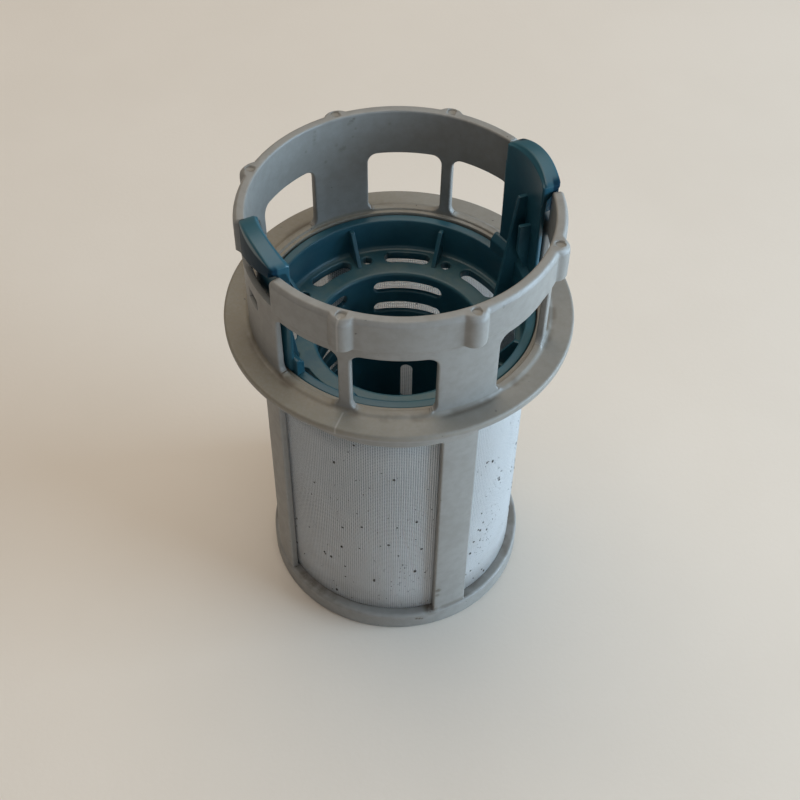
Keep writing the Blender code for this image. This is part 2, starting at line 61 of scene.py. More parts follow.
def putNode(tree, kind, inputs=None, **settings):
    node = tree.nodes.new(kind)
    for key, value in settings.items():
        setattr(node, key, value)
    fill(tree, node, inputs or {})
    return node


def mathNode(tree, operation, first, second=0.0, clamp=False):
    given = {0: first, 1: second}
    return putNode(tree, "ShaderNodeMath", given, operation=operation, use_clamp=clamp).outputs[0]


def times(tree, first, second):
    return mathNode(tree, "MULTIPLY", first, second)


def plus(tree, first, second, clamp=False):
    return mathNode(tree, "ADD", first, second, clamp)


def mapRange(tree, value, low, high, toLow=0.0, toHigh=1.0):
    given = {"Value": value, "From Min": low, "From Max": high, "To Min": toLow, "To Max": toHigh}
    return putNode(tree, "ShaderNodeMapRange", given, interpolation_type="SMOOTHSTEP").outputs["Result"]


def mixColour(tree, factor, first, second):
    return putNode(tree, "ShaderNodeMix", {0: factor, 6: first, 7: second}, data_type="RGBA").outputs[2]


def noise(tree, place, scale, detail=3.0, roughness=0.55):
    given = {"Vector": place, "Scale": scale, "Detail": detail, "Roughness": roughness}
    return putNode(tree, "ShaderNodeTexNoise", given).outputs[0]


def bump(tree, height, strength, distance, under=None):
    given = {"Strength": strength, "Distance": distance, "Height": height}
    if under is not None:
        given["Normal"] = under
    return putNode(tree, "ShaderNodeBump", given).outputs["Normal"]


# The place on the object, its distance from the axis and its angle round it, for the materials
def objectPlace(tree):
    place = putNode(tree, "ShaderNodeTexCoord").outputs["Object"]
    x, y, z = putNode(tree, "ShaderNodeSeparateXYZ", {0: place}).outputs
    radius = mathNode(tree, "SQRT", plus(tree, times(tree, x, x), times(tree, y, y)))
    angle = mathNode(tree, "ARCTAN2", y, x)
    return place, x, y, z, radius, angle


def newMaterial(name):
    material = bpy.data.materials.new(name)
    material.use_nodes = True
    tree = material.node_tree
    shader = tree.nodes["Principled BSDF"]
    return material, tree, shader


def inBand(tree, value, low, high, soft):
    rise = mapRange(tree, value, low - soft, low + soft)
    return times(tree, rise, mapRange(tree, value, high - soft, high + soft, 1.0, 0.0))


# How far a stain covers the surface: each spot is its x, y and z in millimetres, its size and its strength
def spotMask(tree, place, spots):
    cover = 0.0
    for x, y, z, size, strength in spots:
        away = putNode(tree, "ShaderNodeVectorMath", {0: place, 1: (x * mm, y * mm, z * mm)},
                       operation="DISTANCE")
        spot = mapRange(tree, away.outputs["Value"], size * mm, 0.25 * size * mm, 0.0, strength)
        cover = mathNode(tree, "MAXIMUM", spot, cover)
    return cover


# The fine grain of moulded plastic, over a slow swell
def mouldedGrain(tree, place, swell, strength, depth, grain):
    normal = bump(tree, noise(tree, place, swell, 2.0, 0.5), strength, depth)
    return bump(tree, noise(tree, place, grain, 2.0, 0.5), 0.10, 0.00008, normal)


# Grey polypropylene of the frame: satin, a little mottled, with brown stains and specks of dirt, painted
# shade on the shaded side of the flange's brown film, and painted corner shade mixed into the brown at the
# feet of the collar and the screen
def makeFramePlastic():
    look = {
        "base": (0.228, 0.219, 0.200, 1.0),
        "pale": (0.258, 0.250, 0.232, 1.0),
        "filmAndShade": (0.215, 0.188, 0.140, 1.0),  # brown film on the flange, deepened by painted shade on the side away from the window
        "shadedSideTurn": math.radians(154.0),  # the side in shade, where the painted shade on the film is strongest
        "flangeBand": (0.0886, 0.0907),  # bands are heights or radii in metres
        "knit": (0.42, 0.40, 0.36, 1.0),  # the pale line where the plastic met in the mould
        "knitTurn": math.radians(224.9),
        "brown": (0.085, 0.062, 0.040, 1.0),
        "ledgeBand": (0.0049, 0.0068),
        "footBand": (0.0893, 0.0906),
        "footRadii": (0.0350, 0.0372),
        "speck": (0.05, 0.045, 0.04, 1.0),
        "stains": ((-5.2, -32.8, 6.0, 2.6, 0.85), (-32.0, -8.6, 5.8, 2.2, 0.5),
                   (-30.9, -11.8, 5.7, 2.4, 0.55), (-29.4, -15.1, 5.7, 2.3, 0.5),
                   (-27.4, -18.3, 5.7, 2.0, 0.4), (-3.6, -33.8, 14.9, 1.3, 0.8),
                   (-3.8, -33.8, 12.6, 1.0, 0.6), (-9.4, -33.1, 3.9, 0.65, 0.9),
                   (-8.6, -33.3, 3.7, 0.6, 0.9), (-7.9, -33.5, 3.5, 0.55, 0.8)),
        "smudges": ((2.7, 33.8, 117.6, 0.8, 0.8), (3.2, 33.7, 118.2, 0.9, 0.9),
                    (3.8, 33.6, 118.9, 0.8, 0.8), (-6.3, 33.3, 118.4, 0.9, 0.4),
                    (-6.3, 33.3, 117.4, 1.0, 0.45), (-6.4, 33.3, 116.4, 1.0, 0.45),
                    (-6.4, 33.3, 115.4, 0.9, 0.4), (1.1, 33.9, 111.1, 1.0, 0.45),
                    (0.4, 33.9, 110.8, 1.0, 0.4), (4.2, 33.6, 116.0, 0.6, 0.5),
                    (3.4, 33.7, 113.8, 0.6, 0.5), (-0.8, 33.9, 112.6, 0.7, 0.4),
                    (-9.0, 32.7, 114.1, 0.6, 0.4), (-3.8, 33.7, 108.7, 0.7, 0.35),
                    (12.2, 31.6, 116.3, 0.6, 0.4)),
    }
    material, tree, shader = newMaterial("greyPolypropylene")
    place, x, y, z, radius, _ = objectPlace(tree)
    mottle = noise(tree, place, 55.0, 4.0, 0.6)
    fine = noise(tree, place, 420.0, 3.0, 0.6)
    mixed = plus(tree, times(tree, mottle, 0.45), times(tree, fine, 0.55))
    colour = mixColour(tree, mapRange(tree, mixed, 0.36, 0.64), look["base"], look["pale"])

    grit = mapRange(tree, noise(tree, place, 1400.0, 3.0, 0.6), 0.3, 0.7, 0.62, 1.0)
    # Painted shade: the flange's brown film is partly real and grows darker towards the side that the window
    # light does not reach
    turn = look["shadedSideTurn"]
    towardShadedSide = plus(tree, times(tree, x, math.cos(turn)), times(tree, y, math.sin(turn)))
    filmAndShadeMask = times(tree, inBand(tree, z, *look["flangeBand"], 0.0003),
                     mapRange(tree, towardShadedSide, -0.030, 0.034, 0.35, 1.0))
    colour = mixColour(tree, times(tree, filmAndShadeMask, grit), colour, look["filmAndShade"])

    turn = look["knitTurn"]
    across = mathNode(tree, "SUBTRACT", times(tree, x, math.sin(turn)), times(tree, y, math.cos(turn)))
    along = plus(tree, times(tree, x, math.cos(turn)), times(tree, y, math.sin(turn)))
    onLine = mapRange(tree, mathNode(tree, "ABSOLUTE", across), 0.00035, 0.00005)
    onRim = times(tree, mapRange(tree, along, 0.0362, 0.0368), mapRange(tree, z, 0.0870, 0.0880, 0.0, 0.5))
    colour = mixColour(tree, times(tree, onLine, onRim), colour, look["knit"])

    stainAndShadeNoise = noise(tree, place, 95.0, 3.0, 0.6)
    # Brown on the ledge at the screen's foot and round the collar's foot is partly dirt and partly painted
    # corner shade
    ledge = times(tree, inBand(tree, z, *look["ledgeBand"], 0.0006), mapRange(tree, radius, 0.0344, 0.0340))
    ledgeStainAndShade = times(tree, ledge, mapRange(tree, stainAndShadeNoise, 0.50, 0.66, 0.0, 0.45))
    foot = times(tree, inBand(tree, z, *look["footBand"], 0.0004),
                 inBand(tree, radius, *look["footRadii"], 0.0006))
    footStainAndShade = times(tree, foot, mapRange(tree, stainAndShadeNoise, 0.46, 0.62, 0.0, 0.55))
    ragged = mapRange(tree, noise(tree, place, 520.0, 4.0, 0.7), 0.34, 0.58, 0.15, 1.0)
    spots = times(tree, spotMask(tree, place, look["stains"] + look["smudges"]), ragged)
    stainAndShade = mathNode(tree, "MAXIMUM", mathNode(tree, "MAXIMUM", ledgeStainAndShade, footStainAndShade), spots)
    colour = mixColour(tree, stainAndShade, colour, look["brown"])

    specks = mapRange(tree, noise(tree, place, 620.0, 1.0, 0.5), 0.74, 0.79)
    field = mapRange(tree, noise(tree, place, 70.0, 1.0, 0.5), 0.50, 0.62, 0.0, 0.8)
    colour = mixColour(tree, times(tree, specks, field), colour, look["speck"])
    fill(tree, shader, {
        "Base Color": colour, "Roughness": mapRange(tree, mixed, 0.3, 0.7, 0.54, 0.44),
        "Specular IOR Level": 0.5, "Normal": mouldedGrain(tree, place, 150.0, 0.16, 0.0006, 2600.0)})
    return material


# Pale plain-woven cloth: two crossing sets of threads on the surface, with pin holes between them
def makeScreenCloth():
    look = {
        "thread": (0.69, 0.695, 0.69, 1.0),
        "shade": (0.46, 0.465, 0.47, 1.0),
        "grime": (0.34, 0.30, 0.24, 1.0),
        "dust": (0.05, 0.045, 0.04, 1.0),
        "dusty": ((16.1, -27.4, 44.5, 7.0, 1.0), (15.3, -27.9, 32.5, 7.0, 1.0),
                  (11.1, -29.8, 22.5, 6.0, 1.0), (-12.0, -29.0, 20.0, 9.0, 0.6)),
        "pitch": 0.57 * mm,
        "radius": 31.8 * mm,
        "glow": 0.35,  # how much of the light passes through the threads
    }
    material, tree, shader = newMaterial("paleWovenCloth")
    place, _, _, z, _, angle = objectPlace(tree)
    threads = round(2 * math.pi * look["radius"] / look["pitch"])
    warp = mathNode(tree, "ABSOLUTE", mathNode(tree, "SINE", times(tree, angle, threads / 2.0)))
    weft = mathNode(tree, "ABSOLUTE", mathNode(tree, "SINE", times(tree, z, math.pi / look["pitch"])))
    weave = mathNode(tree, "MAXIMUM", warp, times(tree, weft, 0.92))
    cloud = mapRange(tree, noise(tree, place, 60.0, 4.0, 0.6), 0.44, 0.68)
    grimeMask = times(tree, cloud, mapRange(tree, z, 0.050, 0.004, 0.0, 0.22))
    colour = mixColour(tree, mapRange(tree, weave, 0.45, 0.95), look["shade"], look["thread"])
    colour = mixColour(tree, grimeMask, colour, look["grime"])
    dust = mapRange(tree, noise(tree, place, 1300.0, 1.0, 0.5), 0.655, 0.70)
    dustField = plus(tree, spotMask(tree, place, look["dusty"]), 0.10, clamp=True)
    colour = mixColour(tree, times(tree, dust, dustField), colour, look["dust"])
    fill(tree, shader, {"Base Color": colour, "Roughness": 0.42, "Specular IOR Level": 0.55,
                        "Normal": bump(tree, weave, 0.8, 0.00010)})

    def mixed(share, first, second):
        return putNode(tree, "ShaderNodeMixShader", {0: share, 1: first, 2: second}).outputs[0]

    glow = putNode(tree, "ShaderNodeBsdfTranslucent", {"Color": colour})
    hole = putNode(tree, "ShaderNodeBsdfTransparent")
    paintedBounce = mapRange(tree, z, 0.062, 0.012, 0.9, 0.05)  # fewer pin holes lower down, so the lower screen reads lighter: painted light standing in for light bounced up from the table
    pinHoles = mapRange(tree, weave, 0.90, 0.72, 0.0, paintedBounce)
    cover = mixed(pinHoles, mixed(look["glow"], shader.outputs[0], glow.outputs[0]), hole.outputs[0])
    fill(tree, tree.nodes["Material Output"], {"Surface": cover})
    return material


# Dark teal polypropylene of the basket, paler on the shelf from scale, with painted shade on the tabs'
# skirts: a near-black colour and almost no reflection
def makeBasketPlastic():
    look = {
        "base": (0.012, 0.070, 0.102, 1.0),
        "pale": (0.019, 0.092, 0.124, 1.0),
        "scale": (0.055, 0.105, 0.108, 1.0),
        "shelfBand": (0.0790, 0.0812),  # heights in metres
        "skirt": (0.007, 0.027, 0.046, 1.0),
        "skirtBand": (0.1120, 0.1221),
    }
    material, tree, shader = newMaterial("tealPolypropylene")
    place, _, _, z, radius, _ = objectPlace(tree)
    mottle = noise(tree, place, 70.0, 4.0, 0.6)
    colour = mixColour(tree, mapRange(tree, mottle, 0.36, 0.66), look["base"], look["pale"])
    shelf = times(tree, inBand(tree, z, *look["shelfBand"], 0.0006), mapRange(tree, radius, 0.0195, 0.0215))
    patch = mapRange(tree, noise(tree, place, 230.0, 4.0, 0.65), 0.35, 0.70, 0.15, 0.75)
    colour = mixColour(tree, times(tree, shelf, patch), colour, look["scale"])
    # Painted shade: the skirts under the tabs' lips are painted near black and lose their reflection
    skirt = times(tree, inBand(tree, z, *look["skirtBand"], 0.0004), mapRange(tree, radius, 0.0340, 0.0347))
    colour = mixColour(tree, skirt, colour, look["skirt"])
    fill(tree, shader, {
        "Base Color": colour, "Roughness": mapRange(tree, mottle, 0.3, 0.7, 0.34, 0.44),
        "Specular IOR Level": mapRange(tree, skirt, 0.0, 1.0, 0.5, 0.02),
        "Normal": mouldedGrain(tree, place, 170.0, 0.14, 0.0005, 2400.0)})
    return material


def makeDirt():
    material, tree, shader = newMaterial("driedDirt")
    place = objectPlace(tree)[0]
    patch = noise(tree, place, 900.0, 2.0, 0.6)
    colour = mixColour(tree, patch, (0.020, 0.019, 0.018, 1.0), (0.085, 0.075, 0.062, 1.0))
    fill(tree, shader, {"Base Color": colour, "Roughness": 0.8})
    return material


def makeTableTop():
    material, tree, shader = newMaterial("paleTable")
    place = putNode(tree, "ShaderNodeTexCoord").outputs["Object"]
    cloud = noise(tree, place, 9.0, 4.0, 0.6)
    colour = mixColour(tree, mapRange(tree, cloud, 0.35, 0.65),
                       (0.720, 0.642, 0.555, 1.0), (0.740, 0.662, 0.575, 1.0))
    grain = bump(tree, noise(tree, place, 700.0, 2.0, 0.5), 0.15, 0.0002)
    fill(tree, shader, {"Base Color": colour, "Roughness": 0.7, "Normal": grain})
    return material


framePlastic = makeFramePlastic()
screenCloth = makeScreenCloth()
basketPlastic = makeBasketPlastic()
dirt = makeDirt()
print("materials made")


# Mesh helpers

def addObject(name, mesh, material):
    item = bpy.data.objects.new(name, mesh)
    mainCollection.objects.link(item)
    mesh.materials.clear()
    mesh.materials.append(material)
    return item


# Turns an object and its modifiers into one plain mesh at the origin
def settle(item):
    depsgraph = bpy.context.evaluated_depsgraph_get()
    mesh = bpy.data.meshes.new_from_object(item.evaluated_get(depsgraph), depsgraph=depsgraph)
    item.modifiers.clear()
    item.data = mesh
    return item


def smoothed(item, bevel=0.0, segments=3):
    if bevel > 0.0:
        rounding = item.modifiers.new("rounding", "BEVEL")
        rounding.width = bevel
        rounding.segments = segments
        rounding.limit_method = "ANGLE"
        rounding.angle_limit = math.radians(30)
    for polygon in item.data.polygons:
        polygon.use_smooth = True
    weigh = item.modifiers.new("weigh", "WEIGHTED_NORMAL")
    weigh.weight = 60
    return settle(item)


def closed(name, points, faces):
    mesh = bpy.data.meshes.new(name)
    mesh.from_pydata(points, [], faces)
    shape = bmesh.new()
    shape.from_mesh(mesh)
    bmesh.ops.remove_doubles(shape, verts=shape.verts, dist=weld)
    bmesh.ops.recalc_face_normals(shape, faces=shape.faces)
    shape.to_mesh(mesh)
    shape.free()
    return mesh


def merged(name, blocks):
    points, faces = [], []
    for blockPoints, blockFaces in blocks:
        start = len(points)
        points += blockPoints
        faces += [tuple(start + k for k in face) for face in blockFaces]
    return closed(name, points, faces)


# The faces of a prism whose two ends have n points each
def prismFaces(n):
    ends = [tuple(range(n)), tuple(n + k for k in reversed(range(n)))]
    return ends + [(k, k + n, (k + 1) % n + n, (k + 1) % n) for k in range(n)]


def turnedAbout(degrees):
    return Matrix.Rotation(math.radians(degrees), 4, "Z")


# A wall is drawn flat, in degrees round the part and in millimetres along its profile. Openings are
# cut out of the flat sheet, then both skins are wrapped to their profiles and joined by a rounded edge.

def roundedSlot(centre, row, width, height, corner, girth, steps):
    perDegree = girth * math.pi / 180.0
    points = []
    for sideX, sideY, start in ((1, 1, 0), (-1, 1, 90), (-1, -1, 180), (1, -1, 270)):
        for step in range(steps + 1):
            turn = math.radians(start + 90.0 * step / steps)
            x = sideX * (width / 2 - corner) + corner * math.cos(turn)
            y = sideY * (height / 2 - corner) + corner * math.sin(turn)
            points.append((centre + x / perDegree, row + y))
    return points


# The rounded edge closes in on an opening, so it is cut larger by that much
def grownSlot(edge, centre, row, width, height, corner, girth, steps):
    return roundedSlot(centre, row, width + 2 * edge, height + 2 * edge, corner + edge, girth, steps)


# Small cuts that round a corner of the wall itself; side is where the corner points to
def cornerCuts(corner, side, radius, girth, steps=4):
    perDegree = girth * math.pi / 180.0
    centre = (-side[0] * radius, -side[1] * radius)
    cuts = []
    for step in range(1, steps):
        turn = math.radians(90.0 * step / steps)
        normal = (side[0] * math.cos(turn), side[1] * math.sin(turn))
        foot = (centre[0] + radius * normal[0], centre[1] + radius * normal[1])
        along = (-normal[1], normal[0])
        triangle = [(foot[0] - along[0] * radius, foot[1] - along[1] * radius),
                    (foot[0] + normal[0] * radius, foot[1] + normal[1] * radius),
                    (foot[0] + along[0] * radius, foot[1] + along[1] * radius)]
        area = sum(triangle[i][0] * triangle[(i + 1) % 3][1] - triangle[(i + 1) % 3][0] * triangle[i][1]
                   for i in range(3))
        if area < 0:
            triangle.reverse()
        cuts.append([(corner[0] + x / perDegree, corner[1] + y) for x, y in triangle])
    return cuts


def cutOpening(sheet, outline):
    lowX, highX = min(p[0] for p in outline), max(p[0] for p in outline)
    lowY, highY = min(p[1] for p in outline), max(p[1] for p in outline)
    inside = []
    for face in sheet.faces:
        xs = [v.co.x for v in face.verts]
        ys = [v.co.y for v in face.verts]
        if max(xs) > lowX and min(xs) < highX and max(ys) > lowY and min(ys) < highY:
            inside.append(face)
    for i, start in enumerate(outline):
        end = outline[(i + 1) % len(outline)]
        normal = Vector((end[1] - start[1], start[0] - end[0], 0.0))
        if normal.length < 1e-7 or not inside:
            continue
        normal.normalize()
        foot = Vector((start[0], start[1], 0.0))
        edges = {edge for face in inside for edge in face.edges}
        points = {vertex for face in inside for vertex in face.verts}
        cut = bmesh.ops.bisect_plane(sheet, geom=[*inside, *edges, *points], dist=1e-6,
                                     plane_co=foot, plane_no=normal)
        inside = [f for f in cut["geom"] if isinstance(f, bmesh.types.BMFace)
                  and (f.calc_center_median() - foot).dot(normal) < 0]
    bmesh.ops.delete(sheet, geom=inside, context="FACES")


def roundPlace(angle, r, z):
    turn = np.radians(angle)
    return np.stack((r * np.cos(turn), r * np.sin(turn), z), axis=1)


def wrapWall(name, columns, rows, openings, skins, edge, girth, hasPole=False, hasSeam=True,
             placing=roundPlace):
    sheet = bmesh.new()
    grid = [[sheet.verts.new((column, row, 0.0)) for column in columns] for row in rows]
    for j in range(len(rows) - 1):
        for i in range(len(columns) - 1):
            sheet.faces.new((grid[j][i], grid[j][i + 1], grid[j + 1][i + 1], grid[j + 1][i]))
    for outline in openings:
        cutOpening(sheet, outline)
    sheet.verts.index_update()
    flat = np.array([vertex.co[:2] for vertex in sheet.verts])
    faces = [[vertex.index for vertex in face.verts] for face in sheet.faces]
    firstColumn, lastColumn, lastRow = columns[0], columns[-1], rows[-1]
    rim = []
    for side in sheet.edges:
        if not side.is_boundary:
            continue
        loop = side.link_loops[0]
        a, b = loop.vert.index, loop.link_loop_next.vert.index
        onSeam = hasSeam and abs(flat[a][0] - flat[b][0]) < 1e-6 and (
            abs(flat[a][0] - firstColumn) < 1e-6 or abs(flat[a][0] - lastColumn) < 1e-6)
        onPole = hasPole and abs(flat[a][1] - lastRow) < 1e-6 and abs(flat[b][1] - lastRow) < 1e-6
        if not onSeam and not onPole:
            rim.append((a, b))
    sheet.free()

  # Outward directions at the open edges, in true millimetres round and along the wall
    perDegree = girth(flat[:, 1]) * math.pi / 180.0
    incoming, outgoing = {}, {}
    for a, b in rim:
        dx = (flat[b][0] - flat[a][0]) * (perDegree[a] + perDegree[b]) / 2
        dy = flat[b][1] - flat[a][1]
        length = math.hypot(dx, dy) or 1.0
        outgoing[a] = incoming[b] = np.array((dy / length, -dx / length))
    edgePoints = sorted(set(incoming) | set(outgoing))
    order = {point: k for k, point in enumerate(edgePoints)}
    mitre = np.zeros((len(edgePoints), 2))
    for point in edgePoints:
        n1 = incoming.get(point, outgoing.get(point))
        n2 = outgoing.get(point, incoming.get(point))
        mitre[order[point]] = (n1 + n2) / max(0.35, 1.0 + float(n1 @ n2))
    base = flat[edgePoints]
    rimPerDegree = perDegree[edgePoints]

    def spot(angle, row, depth):
        innerR, innerZ, outerR, outerZ = skins(angle, row)
        r = innerR + (outerR - innerR) * depth
        z = innerZ + (outerZ - innerZ) * depth
        return placing(angle, r, z) * mm

    rings = []
    stepsDown = [30.0, 60.0, 90.0]
    for turn, side in [(t, 1) for t in stepsDown] + [(t, 0) for t in reversed(stepsDown)]:
        reach = edge * math.sin(math.radians(turn))
        angle = base[:, 0] + mitre[:, 0] * reach / rimPerDegree
        row = base[:, 1] + mitre[:, 1] * reach
        innerR, innerZ, outerR, outerZ = skins(angle, row)
        wall = np.hypot(outerR - innerR, outerZ - innerZ)
        sink = np.minimum(edge, 0.48 * wall) * (1 - math.cos(math.radians(turn))) / wall
        rings.append(spot(angle, row, 1.0 - sink if side else sink))

    count, rimCount = len(flat), len(edgePoints)
    points = np.concatenate([spot(flat[:, 0], flat[:, 1], 1.0), spot(flat[:, 0], flat[:, 1], 0.0)] + rings)
    allFaces = [list(face) for face in faces]
    allFaces += [[count + index for index in reversed(face)] for face in faces]
    for a, b in rim:
        ladderA = [a] + [2 * count + k * rimCount + order[a] for k in range(6)] + [count + a]
        ladderB = [b] + [2 * count + k * rimCount + order[b] for k in range(6)] + [count + b]
        for k in range(7):
            allFaces.append([ladderB[k], ladderA[k], ladderA[k + 1], ladderB[k + 1]])
    return closed(name, points.tolist(), allFaces)


def profile(knots):
    rows, radii, heights = np.array(knots).T
    return lambda row: (np.interp(row, rows, radii), np.interp(row, rows, heights))


def arcKnots(startRow, endRow, centre, radius, fromDeg, toDeg, steps=5):
    knots = []
    for step in range(steps + 1):
        share = step / steps
        turn = math.radians(fromDeg + (toDeg - fromDeg) * share)
        knots.append((startRow + (endRow - startRow) * share,
                      centre[0] + radius * math.cos(turn), centre[1] + radius * math.sin(turn)))
    return knots


# Outer frame: one moulding from the base ring to the rim

frameShell = {
    "edge": 0.45,  # rounding of the wall's open edges, mm
    "seam": 84.0,  # where the wall's two ends meet, degrees
    "collarGirth": 35.6,  # a girth is the radius at which a width is measured
    "bandGirth": 36.9,
    "postGirth": 33.95,
    "windows": ((15.2, 42.6), (47.4, 77.9), (102.1, 132.6), (137.4, 164.8)),
    "windowSill": 90.2,
    "windowHeight": 17.4,
    "windowCorner": 2.5,
    "notchWidth": 20.2,
    "notchDepth": 9.1,
    "peep": (4.9, 2.9, 106.4),  # width, height and top
    "peepOffset": -1.5,  # degrees
    "bumps": (90.0, 135.0, 225.0, 270.0, 315.0, 405.0),
    "bumpWidth": 5.2,
    "bumpDepth": 1.7,
    "bumpSoftness": 0.32,
    "bays": (135.0, 225.0, 315.0, 405.0),
    "postSpan": 16.0,  # degrees
    "bayBottom": 5.5,
    "bayTop": 77.0,
    "rim": 120.0,
    "pinPlace": 36.3,  # sunk marks of the ejector pins, one on each bump
    "pinRadius": 1.12,
    "pinSink": 0.45,
    "pinSides": 28,
}

# Knots of a profile are the row on the flat sheet, the radius there and the height there
frameOuter = profile([
    (-1.0, 34.45, -1.0), (4.7, 34.45, 4.7), (4.85, 34.42, 4.9), (5.0, 34.33, 5.1),
    (5.15, 34.2, 5.28), (5.3, 34.05, 5.42), (5.5, 33.95, 5.5), (5.7, 33.95, 5.7),
    (76.8, 33.95, 76.8), (77.0, 34.1, 77.0), (84.0, 34.1, 87.3), (84.25, 34.17, 87.6),
    (84.5, 34.45, 87.8), (86.0, 41.0, 87.8), (86.2, 41.3, 87.88), (86.4, 41.45, 88.05),
    (86.6, 41.5, 88.3), (87.2, 41.5, 89.2), (87.4, 41.45, 89.45), (87.6, 41.3, 89.66),
    (87.8, 41.05, 89.78), (88.0, 40.8, 89.8), (89.2, 36.7, 89.8), (89.4, 36.45, 89.83),
    (89.6, 36.22, 89.9), (89.8, 36.02, 90.02), (90.0, 35.86, 90.17), (90.2, 35.74, 90.33),
    (90.4, 35.66, 90.52), (90.8, 35.6, 90.9), (91.2, 35.6, 91.2), (110.6, 35.6, 110.6),
    (111.4, 36.9, 111.4), (118.9, 36.9, 118.9), (118.95, 36.83, 118.95), (119.2, 36.78, 119.2),
    (119.4, 36.66, 119.4), (119.55, 36.52, 119.55), (121.0, 36.0, 121.0)])
frameInner = profile([
    (-1.0, 30.92, -1.0), (5.5, 30.92, 5.5), (5.7, 32.15, 5.5), (76.8, 32.15, 77.0),
    (77.0, 30.92, 77.0), (78.0, 30.92, 78.5), (78.4, 31.8, 78.5), (84.0, 31.8, 87.5),
    (84.5, 32.8, 87.5), (87.2, 32.8, 89.6), (87.4, 32.88, 89.75), (87.6, 33.0, 89.8),
    (89.4, 33.72, 89.8), (89.8, 33.8, 89.9), (93.0, 33.8, 93.0), (118.4, 34.2, 118.4),
    (121.0, 34.2, 121.0)])


def frameSkins(angle, row):
    s = frameShell
    outerR, outerZ = frameOuter(row)
    innerR, innerZ = frameInner(row)
    depth = s["bumpDepth"]
    ball = (s["bumpWidth"] ** 2 / 4 + depth ** 2) / (2 * depth)
    ramp = np.clip((row - 110.5) / 1.0, 0.0, 1.0)
    ramp = ramp * ramp * (3 - 2 * ramp)
    swell = np.zeros_like(outerR)
    for centre in s["bumps"]:
        away = (angle - centre + 180.0) % 360.0 - 180.0
        x = np.abs(np.radians(away) * s["bandGirth"])
        circle = np.sqrt(np.maximum(ball ** 2 - x ** 2, 0.0)) - (ball - depth)
        circle = np.where(x < ball, circle, -(ball - depth) - 3.0 * (x - ball))
        soft = (circle + np.sqrt(circle ** 2 + s["bumpSoftness"] ** 2)) / 2
        fade = np.clip((4.6 - x) / 0.8, 0.0, 1.0)
        swell = np.maximum(swell, soft * fade)
    dome = np.clip((row - 117.6) / 2.4, 0.0, 1.0)
    return innerR, innerZ, outerR + swell * ramp * (1.0 - 0.30 * dome ** 2), outerZ


def frameOpenings(columns):
    s = frameShell
    e, girth, postGirth = s["edge"], s["collarGirth"], s["postGirth"]
    openings = []
    for turn in (0.0, 180.0, 360.0):
        for start, end in s["windows"]:
            centre = (start + end) / 2 + turn
            if columns[0] + 3 < centre < columns[-1] - 3:
                openings.append(grownSlot(e, centre, s["windowSill"] + s["windowHeight"] / 2,
                                          math.radians(end - start) * girth, s["windowHeight"],
                                          s["windowCorner"], girth, 7))
    for centre in (180.0, 360.0):
        openings.append(grownSlot(e, centre, s["rim"], s["notchWidth"], 2 * s["notchDepth"], 0.6, girth, 4))
        half = s["notchWidth"] / 2 + e
        for side in (1, -1):
            corner = (centre + side * half / (girth * math.pi / 180.0), s["rim"] - e)
            openings += cornerCuts(corner, (-side, 1), 0.55, girth)
        width, height, top = s["peep"]
        openings.append(grownSlot(e, centre + s["peepOffset"], top - height / 2, width, height,
                                  0.3, girth, 3))
    for centre in s["bays"]:
        openings.append(grownSlot(e, centre, (s["bayTop"] + s["bayBottom"]) / 2,
                                  math.radians(90.0 - s["postSpan"]) * postGirth,
                                  s["bayTop"] - s["bayBottom"], 0.5, postGirth, 3))
    return openings


# Each grip bump has the round, sunk mark of an ejector pin
def sinkPinMarks(shell):
    s = frameShell
    sides = s["pinSides"]
    pins = []
    for centre in s["bumps"]:
        turn = math.radians(centre)
        middle = (s["pinPlace"] * math.cos(turn), s["pinPlace"] * math.sin(turn))
        ring = [(middle[0] + s["pinRadius"] * math.cos(2 * math.pi * k / sides),
                 middle[1] + s["pinRadius"] * math.sin(2 * math.pi * k / sides)) for k in range(sides)]
        low, high = s["rim"] - s["pinSink"], s["rim"] + 1.0
        points = [(x * mm, y * mm, z * mm) for z in (low, high) for x, y in ring]
        pins.append((points, prismFaces(sides)))
    cutter = addObject("pin_marks", merged("pin_marks", pins), framePlastic)
    sink = shell.modifiers.new("sink", "BOOLEAN")
    sink.operation = "DIFFERENCE"
    sink.solver = "MANIFOLD"
    sink.object = cutter
    before = len(shell.data.polygons)
    settle(shell)
    print("pin marks sunk:", len(shell.data.polygons) - before, "more faces")
    bpy.data.objects.remove(cutter)


